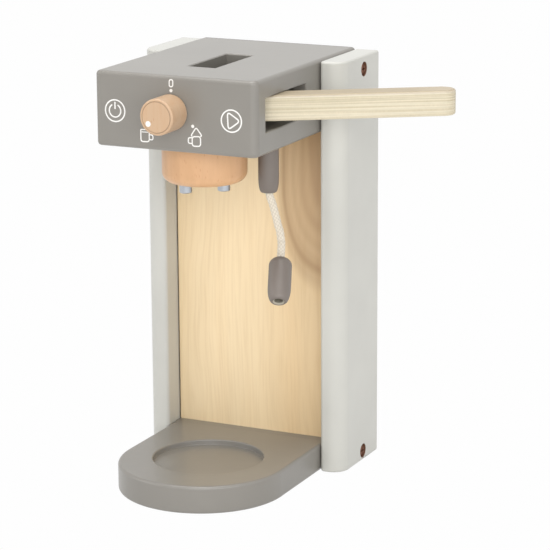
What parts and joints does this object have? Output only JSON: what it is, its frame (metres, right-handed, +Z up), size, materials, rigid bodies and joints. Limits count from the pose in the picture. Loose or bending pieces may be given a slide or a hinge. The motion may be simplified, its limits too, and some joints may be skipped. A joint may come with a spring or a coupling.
{
  "type": "toy coffee maker",
  "caption": "Wooden role-play coffee maker: overhanging head with capsule slot, swinging side lever, dial knob, round spout and hanging milk wand, over a rounded cup base between side posts.",
  "frame": {"origin": "middle of the underside, halfway between the front of the base and the backs of the posts", "axes": "+Z up, -Y towards the front where the cup stands, +X to the side that the lever comes out of"},
  "size_m": [0.2187, 0.17, 0.271],
  "materials": {
    "taupe_paint": "satin paint on wood",
    "pale_paint": "satin paint on wood",
    "panel_veneer": "clear-coated pale veneer, upright grain",
    "beech": "clear-coated beech",
    "plywood": "clear-coated plywood with layered edges",
    "wand_paint": "satin paint on turned wood",
    "zinc_steel": "zinc plated",
    "bronzed_steel": "bronzed",
    "nozzle_metal": "satin",
    "cotton_cord": "braided cotton"
  },
  "bodies": {
    "stand": {"base": "taupe_paint", "post_left": "pale_paint", "post_right": "pale_paint", "back_panel": "panel_veneer", "head_shell": "taupe_paint", "head_floor": "taupe_paint", "head_floor_screws": "zinc_steel", "head_side_screws": "bronzed_steel", "base_side_screws": "bronzed_steel", "head_dowels": "beech", "base_dowels": "beech", "lever_pivot": "beech", "lever_spacer": "beech", "spout_screw": "zinc_steel", "spout_washer": "zinc_steel", "frother_holder": "wand_paint", "frother_holder_screw": "zinc_steel"},
    "lever": {"lever": "plywood"},
    "knob": {"knob": "beech", "knob_axle": "beech", "knob_washer": "zinc_steel", "knob_screw": "zinc_steel"},
    "spout": {"spout_block": "beech", "nozzle_left": "nozzle_metal", "nozzle_right": "nozzle_metal"},
    "wand": {"frother_cord": "cotton_cord", "frother_wand": "wand_paint"}
  },
  "joints": [
    {"name": "lever_swing", "type": "hinge", "parent": "stand", "child": "lever", "pos_m": [0.028, -0.046, 0.2504], "axis": [0, 0, 1], "range_deg": [-17, 16]},
    {"name": "knob_turn", "type": "hinge", "parent": "stand", "child": "knob", "pos_m": [-0.0025, -0.0728, 0.2485], "axis": [0, 1, 0], "continuous": true},
    {"name": "spout_turn", "type": "hinge", "parent": "stand", "child": "spout", "pos_m": [0, -0.024, 0.2115], "axis": [0, 0, 1], "continuous": true},
    {"name": "wand_swing", "type": "hinge", "parent": "stand", "child": "wand", "pos_m": [0.036, -0.007, 0.1945], "axis": [0.6428, -0.766, 0], "range_deg": [-20, 20]}
  ]
}
